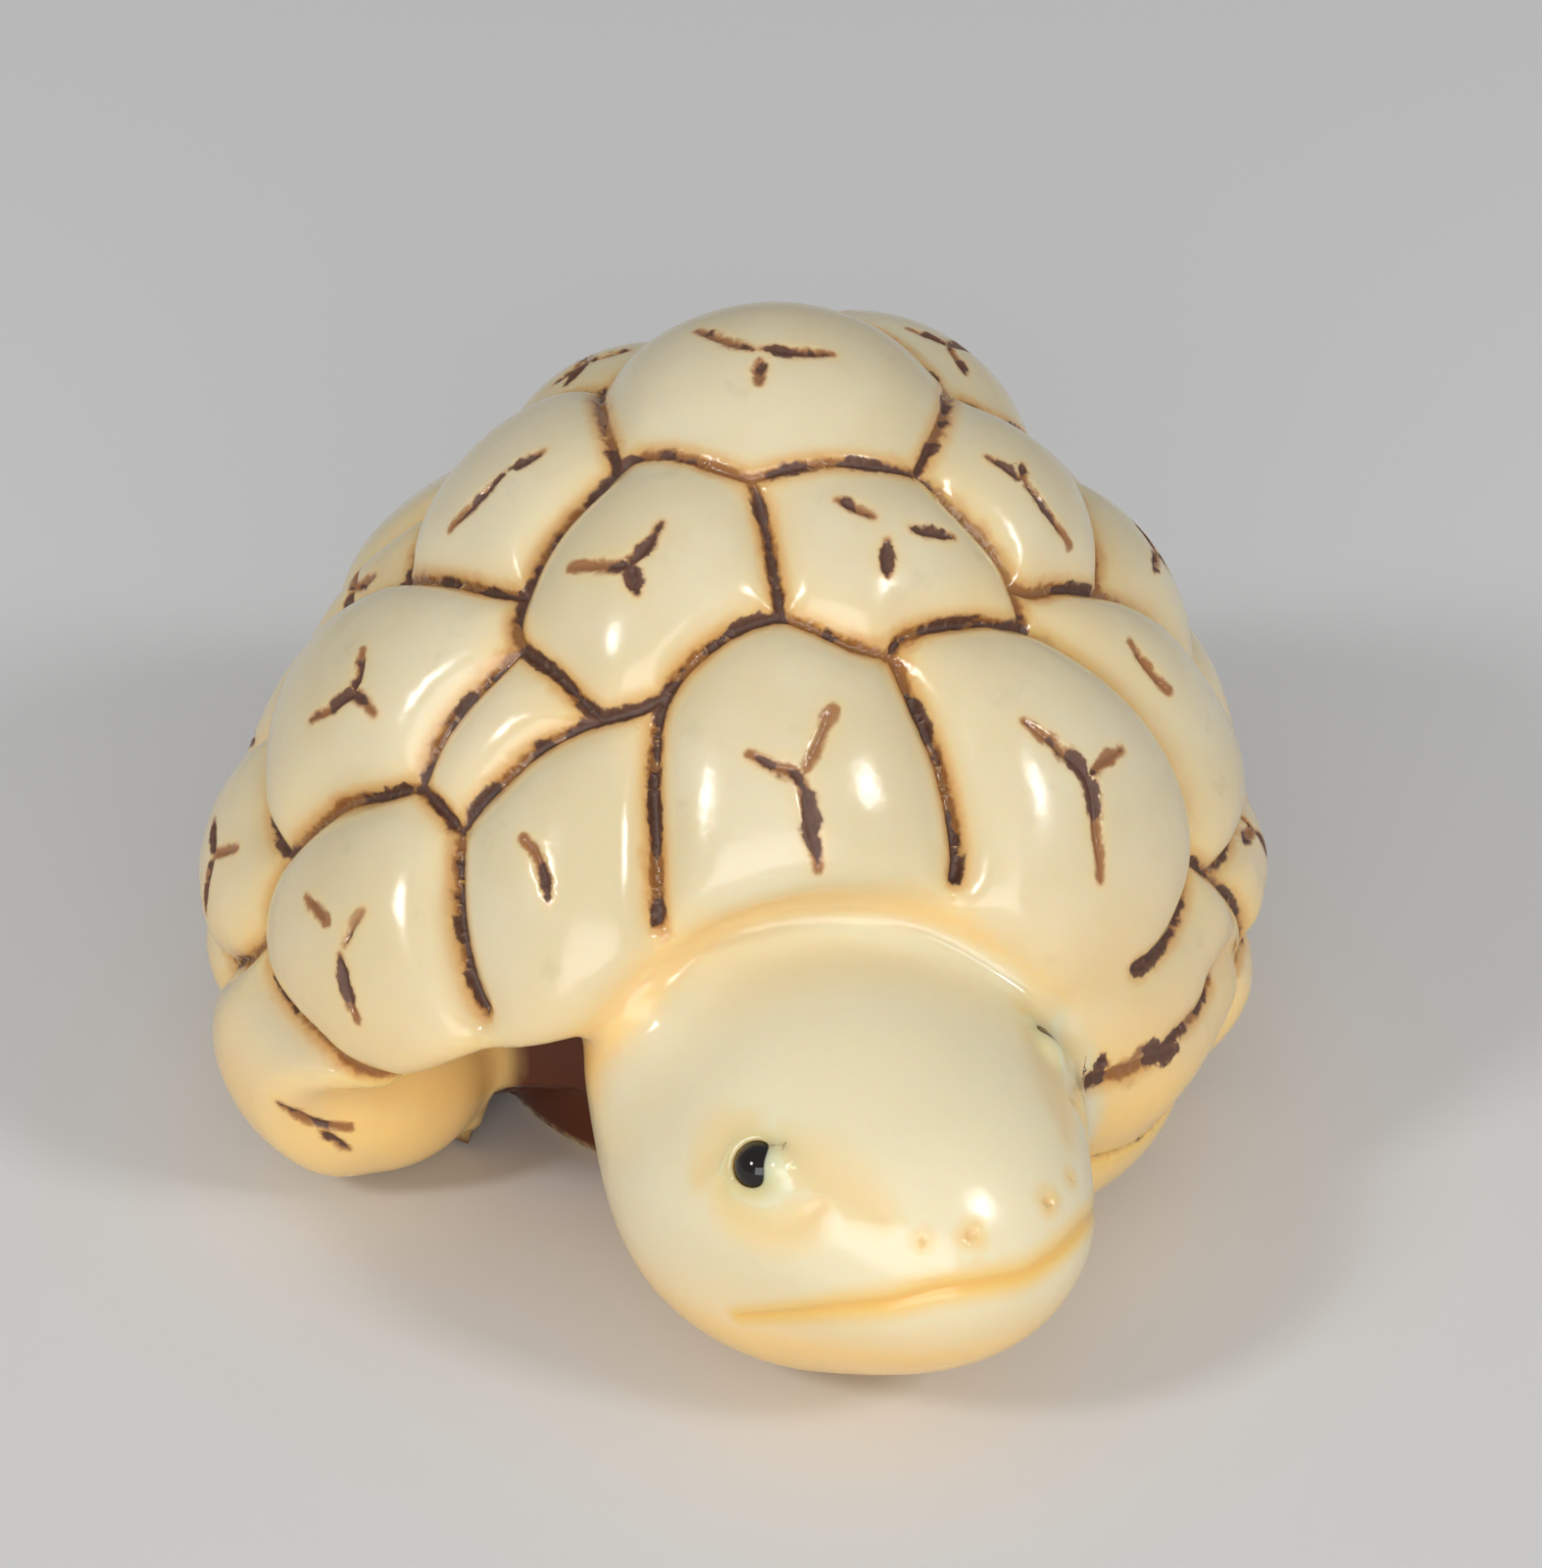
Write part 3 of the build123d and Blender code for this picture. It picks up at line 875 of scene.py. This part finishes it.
def body_mesh(body, cuts):
    """Points and triangles of the body, finer beside the cuts."""
    points, quads = netted(body.whole)
    points = settled(points, body.whole, 4)
    for _ in range(EVEN_ROUNDS):
        points = settled(evened(points, quads), body.whole, 2)
    one = np.linalg.norm(points[quads[:, 0]] - points[quads[:, 2]], axis=1)
    other = np.linalg.norm(points[quads[:, 1]] - points[quads[:, 3]], axis=1)
    shorter = (one < other)[:, None, None]
    halves = np.where(shorter, quads[:, ((0, 1, 2), (0, 2, 3))], quads[:, ((1, 2, 3), (1, 3, 0))])
    faces = halves.reshape(-1, 3)
    tree = KDTree(len(cuts))
    for k, place in enumerate(cuts):
        tree.insert(place, k)
    tree.balance()
    for reach, longest in FINE_STEPS:
        distance = np.array([tree.find(point)[2] for point in points])
        points, faces = divided(points, faces, distance < reach, longest, body.whole)
    for place, out, radius in body.beads:
        for reach, longest in EYE_STEPS:
            distance = np.linalg.norm(points - place - out * radius / 2, axis=1)
            points, faces = divided(points, faces, distance < reach, longest, body.whole)
    return points, faces


class Signal:
    """A node's output, which can stand in sums."""

    def __init__(self, recipe, socket):
        self.recipe = recipe
        self.socket = socket

    def maths(self, operation, *others):
        return self.recipe.node("ShaderNodeMath", {"operation": operation}, *others)

    def __add__(self, other):
        return self.maths("ADD", self, other)

    def __sub__(self, other):
        return self.maths("SUBTRACT", self, other)

    def __mul__(self, other):
        return self.maths("MULTIPLY", self, other)

    def __truediv__(self, other):
        return self.maths("DIVIDE", self, other)

    __radd__ = __add__

    def at_least(self, other):
        return self.maths("MAXIMUM", self, other)

    def at_most(self, other):
        return self.maths("MINIMUM", self, other)


class Recipe:
    """A node tree, made one step after another."""

    def __init__(self, tree):
        self.tree = tree

    def node(self, kind, settings=None, *values, output=0, **named):
        """A node with its settings, the values or links of its sockets, and the output that is wanted."""
        made = self.tree.nodes.new(kind)
        for name, setting in (settings or {}).items():
            setattr(made, name, setting)
        for socket, value in [*enumerate(values), *named.items()]:
            if value is None:
                continue
            if isinstance(socket, str):
                socket = socket.replace("_", " ")
            if isinstance(value, Signal):
                self.tree.links.new(value.socket, made.inputs[socket])
            else:
                made.inputs[socket].default_value = value
        return Signal(self, made.outputs[output]) if len(made.outputs) else made

    def place(self):
        return self.node("ShaderNodeTexCoord", output="Object")

    def attribute(self, name):
        return self.node("ShaderNodeAttribute", {"attribute_name": name}, output="Fac")

    def blend(self, factor, one, other):
        """One colour going over into another."""
        unused = [None] * 5
        return self.node("ShaderNodeMix", {"data_type": "RGBA"}, factor, *unused, one, other, output=2)

    def ease(self, value, low, high):
        """0 below low, 1 above high and smooth between."""
        settings = {"interpolation_type": "SMOOTHSTEP"}
        return self.node("ShaderNodeMapRange", settings, value, low, high, 0.0, 1.0)

    def noise(self, place, scale, detail=3.0, roughness=0.5):
        sizes = {"Scale": scale, "Detail": detail, "Roughness": roughness}
        return self.node("ShaderNodeTexNoise", {}, Vector=place, **sizes)

    def principled(self, **values):
        shader = self.node("ShaderNodeBsdfPrincipled", {"subsurface_method": "RANDOM_WALK"}, **values)
        self.node("ShaderNodeOutputMaterial", {}, shader)


def colour(name):
    """One of the colours as the light that a shader works with."""
    light = [((c / 255 + 0.055) / 1.055) ** 2.4 if c > 10 else c / 3294.6 for c in COLOURS[name]]
    return (*light, 1.0)


def new_material(name):
    material = bpy.data.materials.new(name)
    material.use_nodes = True
    material.node_tree.nodes.clear()
    return material, Recipe(material.node_tree)


def ivory_resin():
    """Glossy ivory-coloured resin with brown stain in its cuts, a painted warm glow in its hollows and along
    its cuts, and painted shade in the front opening.
    """
    material, recipe = new_material("ivory_resin")
    place = recipe.place()
    values = ("cut_distance", "cut_width", "cut_dark", "cut_warm", "painted_glow", "shade", "pale")
    distance, width, dark, warm, painted_glow, shade, pale = [recipe.attribute(value) for value in values]
    cloud = recipe.noise(place, CLOUD_SCALE)
    run = recipe.noise(place, RUN_SCALE, 2.0)
    patch = recipe.noise(place, PATCH_SCALE, 2.0)
    fleck = recipe.noise(place, FLECK_SCALE, 3.0, 0.6)
    smudge = recipe.ease(recipe.noise(place, SMUDGE_SCALE, 4.0, 0.65), 0.6, 0.75)
    base = recipe.blend(recipe.ease(cloud, 0.35, 0.65), colour("ivory"), colour("ivory_light"))
    base = recipe.blend(smudge * 0.16, base, colour("smudge"))
    # Painted warm glow in the creases, on low faces and under the chin
    base = recipe.blend(painted_glow, base, colour("glow_amber"))
    base = recipe.blend(pale * 0.7, base, colour("head"))
    # Painted warm glow beside every cut, in the head's unstained cuts as in the seams
    near_cut = recipe.ease(distance, width * 2.2 + 0.55, 0.0)
    base = recipe.blend(warm * near_cut * 0.75, base, colour("painted_groove_glow"))
    # The stain runs wide and narrow along its cut, with a ragged edge, a brown rim and a lighter halo
    amount = dark * 0.9 + (run - 0.5) * 10.0 + (patch - 0.5) * 6.5
    wide = width * amount.at_least(0.15).at_most(2.0) * recipe.ease(dark, 0.0, 0.2)
    ragged = distance + (fleck - 0.5) * 0.26 + (patch - 0.5) * 0.4
    spread = distance + ((run - 0.5) * 1.6 + (patch - 0.5)) * warm
    stained = recipe.ease(dark, 0.0, 0.45)
    halo = recipe.ease(spread, wide + warm * 0.85, wide * 0.5) * stained
    base = recipe.blend(halo * 0.6, base, colour("stain_halo"))
    rim = recipe.ease(ragged + (run - 0.5) * 0.9, wide + 0.2, wide * 0.7) * stained
    base = recipe.blend(rim * 0.75, base, colour("stain_rim"))
    core = recipe.ease(ragged, wide + 0.05, wide - 0.07) * recipe.ease(wide, 0.02, 0.08)
    stain = recipe.blend(fleck, colour("stain_dark"), colour("stain_light"))
    base = recipe.blend(core * 0.94, base, stain)
    # Painted shade, partly stain, in the front opening
    base = recipe.blend(shade, base, colour("shade"))
    coarse, fine = [recipe.noise(place, scale, 2.0) for scale in RIPPLE_SCALES]
    bump = recipe.node("ShaderNodeBump", {}, Strength=0.4, Distance=0.00006, Height=coarse + fine * 0.2)
    recipe.principled(
        Base_Color=base,
        Roughness=0.19 + core * 0.3 + (cloud - 0.5) * 0.1,
        IOR=1.5,
        Normal=bump,
        Subsurface_Weight=0.6,
        Subsurface_Radius=(1.0, 0.5, 0.22),
        Subsurface_Scale=0.0022,
    )
    return material


def black_bead():
    """Polished black, cloudy with brown."""
    material, recipe = new_material("black_bead")
    cloud = recipe.noise(recipe.place(), BEAD_CLOUD_SCALE)
    base = recipe.blend(cloud, colour("bead_dark"), colour("bead_light"))
    recipe.principled(Base_Color=base, Roughness=0.06, IOR=1.5)
    return material


def pale_floor():
    material, recipe = new_material("pale_floor")
    recipe.principled(Base_Color=colour("floor"), Roughness=0.9)
    return material


def carving_tree(material):
    """Tree that sinks a groove along every cut line and keeps how far each point is from the line."""
    tree = bpy.data.node_groups.new("carved_cuts", "GeometryNodeTree")
    for name, kind in (("Body", "Geometry"), ("Lines", "Object"), ("Groove share", "Float")):
        tree.interface.new_socket(name=name, in_out="INPUT", socket_type="NodeSocket" + kind)
    tree.interface.new_socket(name="Body", in_out="OUTPUT", socket_type="NodeSocketGeometry")
    recipe = Recipe(tree)
    inputs = tree.nodes.new("NodeGroupInput")
    body, lines_object, groove_share = [Signal(recipe, socket) for socket in list(inputs.outputs)[:3]]
    lines = recipe.node("GeometryNodeObjectInfo", {}, lines_object, output="Geometry")
    distance = recipe.node("GeometryNodeProximity", {"target_element": "EDGES"}, lines, output="Distance")
    distance = distance / MM
    nearest = recipe.node("GeometryNodeSampleNearest", {"domain": "POINT"}, lines)

    def line_value(name):
        value = recipe.node("GeometryNodeInputNamedAttribute", {"data_type": "FLOAT"}, name)
        return recipe.node("GeometryNodeSampleIndex", {"data_type": "FLOAT"}, lines, value, nearest)

    width = line_value("width")
    depth = line_value("depth")
    kept = {"distance": distance, "width": width, "dark": line_value("dark"), "warm": line_value("warm")}
    for name, value in kept.items():
        settings = {"data_type": "FLOAT", "domain": "POINT"}
        body = recipe.node("GeometryNodeStoreNamedAttribute", settings, body, None, "cut_" + name, value)
    settings = {"data_type": "FLOAT"}
    far = recipe.node("GeometryNodeInputNamedAttribute", settings, "cut_distance")
    wide = recipe.node("GeometryNodeInputNamedAttribute", settings, "cut_width")
    groove = recipe.ease(far, wide * 1.5, 0.0) * depth * groove_share * -MM
    normal = recipe.node("GeometryNodeInputNormal")
    sunk = recipe.node("ShaderNodeVectorMath", {"operation": "SCALE"}, normal, Scale=groove)
    body = recipe.node("GeometryNodeSetPosition", {}, body, None, None, sunk)
    body = recipe.node("GeometryNodeRealizeInstances", {}, body)
    body = recipe.node("GeometryNodeSetMaterial", {}, body, None, material)
    recipe.node("NodeGroupOutput", {}, body)
    return tree


def placed(name, data):
    """A new object of the scene."""
    thing = bpy.data.objects.new(name, data)
    bpy.context.scene.collection.objects.link(thing)
    return thing


def new_mesh(name, points, edges, faces, values):
    """An object in metres with its own values at its points."""
    mesh = bpy.data.meshes.new(name)
    mesh.from_pydata((np.array(points) * MM).tolist(), edges, faces)
    for value_name, value in values.items():
        attribute = mesh.attributes.new(value_name, "FLOAT", "POINT")
        attribute.data.foreach_set("value", np.array(value, np.float32))
    return placed(name, mesh)


def three_arms(bearing, climb, turn):
    """Paths of one age mark on the smooth skin."""
    centre = skin_point(bearing, climb)
    east = skin_point(bearing + 1, climb) - centre
    east /= np.linalg.norm(east)
    north = skin_point(bearing, climb + 1) - centre
    north /= np.linalg.norm(north)
    arms = []
    for k, share in enumerate(MARK_ARM_SHARES):
        angle = math.radians(turn + 120 * k - 90)
        arm = (east * math.cos(angle) + north * math.sin(angle)) * MARK_ARM * share
        arms.append(np.array([centre + arm * step for step in (0, 0.5, 1)]))
    return arms


class CutLines:
    """The lines that the carver cut: points, the runs between them, and the groove's values at each point."""

    def __init__(self):
        self.points = []
        self.edges = []
        self.values = {"width": [], "depth": [], "dark": [], "warm": []}

    def add(self, path, width, depth, dark, warm, taper):
        start = len(self.points)
        count = len(path)
        self.points += list(path)
        self.edges += [(start + k, start + k + 1) for k in range(count - 1)]
        for k in range(count):
            end = min(k, count - 1 - k) / max(1, count - 1)
            share = 1 - taper * max(0, 1 - 4 * end)
            here = {"width": width * share, "depth": depth * share, "dark": dark, "warm": warm}
            for name, value in here.items():
                self.values[name].append(value)


def carved_lines(body, paths):
    """Every cut of the body."""
    lines = CutLines()
    for stain, path in paths:
        if stain == 0:
            continue
        width = SEAM_WIDTH[0] + SEAM_WIDTH[1] * stain
        lines.add(settled(path, body.whole, 5), width, SEAM_DEPTH, min(1, stain), SEAM_WARMTH, 0)
    for stain, *pixels in SEEN_MARKS:
        path = settled(smooth_path(seen_points(pixels, body.whole), CUT_STEP), body.whole, 3)
        width = MARK_WIDTH[0] + MARK_WIDTH[1] * stain
        lines.add(path, width, MARK_DEPTH, min(1, stain), MARK_WARMTH, MARK_TAPER)
    for angles in OTHER_MARKS:
        for arm in three_arms(*angles):
            path = settled(smooth_path(arm, CUT_STEP), body.whole, 6)
            lines.add(path, OTHER_MARK_WIDTH, MARK_DEPTH, OTHER_MARK_STAIN, MARK_WARMTH, MARK_TAPER)
    axes = head_axes()
    for name, (width, depth, warm, *pixels) in HEAD_CUTS.items():
        path = smooth_path(seen_points(pixels, body.whole), CUT_STEP)
        local = (path - HEAD_PLACE) @ axes
        mirrored = HEAD_PLACE + (local * (1, -1, 1)) @ axes.T
        sides = [np.vstack((path, mirrored[::-1]))] if name == "mouth" else [path, mirrored]
        for side in sides:
            lines.add(settled(side, body.whole, 3), width, depth, 0, warm, HEAD_CUT_TAPER)
    # A ring of painted warm glow round each bead
    for place, out, radius in body.beads:
        one, other, _ = eye_axes(out).T
        angles = np.radians(np.arange(0, 361, 15))[:, None]
        ring = place + (one * np.cos(angles) + other * np.sin(angles)) * radius + out * radius * 0.5
        lines.add(settled(ring, body.whole, 3), RING_WIDTH, 0, 0, RING_WARMTH, 0)
    return lines


def outward(points, faces):
    """Direction that the surface faces at each point."""
    one, other, third = points[faces].transpose(1, 0, 2)
    facing = np.cross(other - one, third - one)
    total = np.zeros_like(points)
    for corner in faces.T:
        np.add.at(total, corner, facing)
    return total / np.maximum(np.linalg.norm(total, axis=1), 1e-12)[:, None]


def ramp(value, start, end):
    """0 up to start, 1 from end on and even between."""
    return np.clip((value - start) / (end - start), 0, 1)


def paints(points, faces):
    """Each point's share of the painted amber glow, of the painted shade under the shell and of the head's
    pale tone.
    """
    across, along, up = points.T
    upward = outward(points, faces)[:, 2]
    crease = crease_field(points)
    head = head_field(points)
    on_head = ramp(head, 1.5, 0.5)
    # Painted amber glow, for light through the resin: in the seams, low on the shell, under the chin, and low
    # at the front on the turtle's left
    low = ramp(up, 17, 4) * ramp(upward, 0.9, -0.1) * 0.85
    chin = ramp(up, 9, 3) * ramp(upward, 0.25, -0.75) * 2.0
    painted_glow = 0.6 * ramp(crease, 1.0, -0.1) * (1 - on_head) + low + (chin - low) * on_head
    painted_glow = np.clip(painted_glow, 0, 1)
    glow = ramp(up, 20, 6) * ramp(across, 6, 14)
    painted_glow = np.clip(painted_glow + glow * ramp(along, -8, -13) * 0.45 * (1 - on_head), 0, 1)
    # Painted shade, partly stain: dark brown on what lies in the front opening, clear of the outer skins
    nearest = np.minimum(np.minimum(head, corner_field(points)), neck_field(points))
    well_in = ramp(np.hypot(across, along) / SHELL_HALF_LENGTH, 0.78, 0.7) * ramp(up, 6, 4)
    deep = np.maximum(ramp(crease, -1.3, -2.3), well_in)
    within = ramp(arch_oval(points, *FRONT_OPENING[:2]), 1.02, 0.96) * deep * ramp(along, 3, 0)
    shade = within * np.maximum(ramp(nearest, 0.4, 1.2), ramp(along, -7.5, -5.5)) * ramp(up, 0, 0.25)
    pale = on_head * ramp(upward * 1.5, -0.8, 0.2)
    return {"painted_glow": painted_glow, "shade": shade, "pale": pale}


def carved_body():
    """The body: a net round the field, carved along its cut lines."""
    paths = seam_paths()
    body = Body(shell_reach(paths))
    lines = carved_lines(body, paths)
    points, faces = body_mesh(body, lines.points)
    material = ivory_resin()
    raw = new_mesh("raw_body", points, [], faces.tolist(), paints(points, faces))
    cut_lines = new_mesh("cut_lines", lines.points, lines.edges, [], lines.values)
    tree = carving_tree(material)
    modifier = raw.modifiers.new("carved_cuts", "NODES")
    modifier.node_group = tree
    sockets = {item.name: item.identifier for item in tree.interface.items_tree if item.in_out == "INPUT"}
    modifier[sockets["Lines"]] = cut_lines
    modifier[sockets["Groove share"]] = 1.0
    bpy.context.view_layer.update()
    graph = bpy.context.evaluated_depsgraph_get()
    mesh = bpy.data.meshes.new_from_object(raw.evaluated_get(graph), depsgraph=graph)
    mesh.shade_smooth()
    carved = placed("turtle_body", mesh)
    bpy.data.objects.remove(raw)
    bpy.data.objects.remove(cut_lines)
    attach(carved, "root")
    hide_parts("carved_body")
    return carved


def bead_eyes():
    """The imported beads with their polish."""
    material = black_bead()
    for node in ("eye_right", "eye_left"):
        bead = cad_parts[node]
        for slot in bead.material_slots:
            slot.material = material
        bead.data.shade_smooth()


def stage_floor():
    side = FLOOR_SIDE
    corners = [(-side, -side, 0), (side, -side, 0), (side, side, 0), (-side, side, 0)]
    floor = new_mesh("floor", corners, [], [(0, 1, 2, 3)], {})
    floor.data.materials.append(pale_floor())


def aimed_lamp(name, azimuth, elevation, distance, size, power):
    """A square lamp that shines on the turtle from an azimuth, measured as the camera's is."""
    away = Vector(direction(azimuth, elevation))
    lamp = bpy.data.lights.new(name, "AREA")
    lamp.size = size * MM
    lamp.energy = power
    thing = placed(name, lamp)
    thing.location = (Vector(CAMERA_TARGET) + away * distance) * MM
    thing.rotation_euler = away.to_track_quat("Z", "Y").to_euler()


def studio():
    """Even light all round, two soft lamps at the camera's sides and a broad one before the turtle."""
    world = bpy.data.worlds.new("studio")
    world.use_nodes = True
    world.node_tree.nodes.clear()
    recipe = Recipe(world.node_tree)
    background = recipe.node("ShaderNodeBackground", {}, (1, 1, 1, 1), WORLD_LIGHT)
    recipe.node("ShaderNodeOutputWorld", {}, background)
    bpy.context.scene.world = world
    for name, settings in LAMPS.items():
        aimed_lamp(name, *settings)


def camera():
    forward, right, upward, place = camera_axes()
    lens = bpy.data.cameras.new("camera")
    lens.sensor_fit = "HORIZONTAL"
    lens.sensor_width = SENSOR
    lens.lens = SENSOR * FOCAL_PIXELS / PHOTO_WIDE
    lens.clip_start = CLIP_START
    thing = placed("camera", lens)
    rows = np.column_stack((right, upward, -forward, place * MM))
    thing.matrix_world = Matrix(np.vstack((rows, (0, 0, 0, 1))))
    bpy.context.scene.camera = thing


carved_body()
bead_eyes()
stage_floor()
studio()
camera()
bpy.context.scene.view_settings.view_transform = "Standard"
bpy.context.view_layer.update()
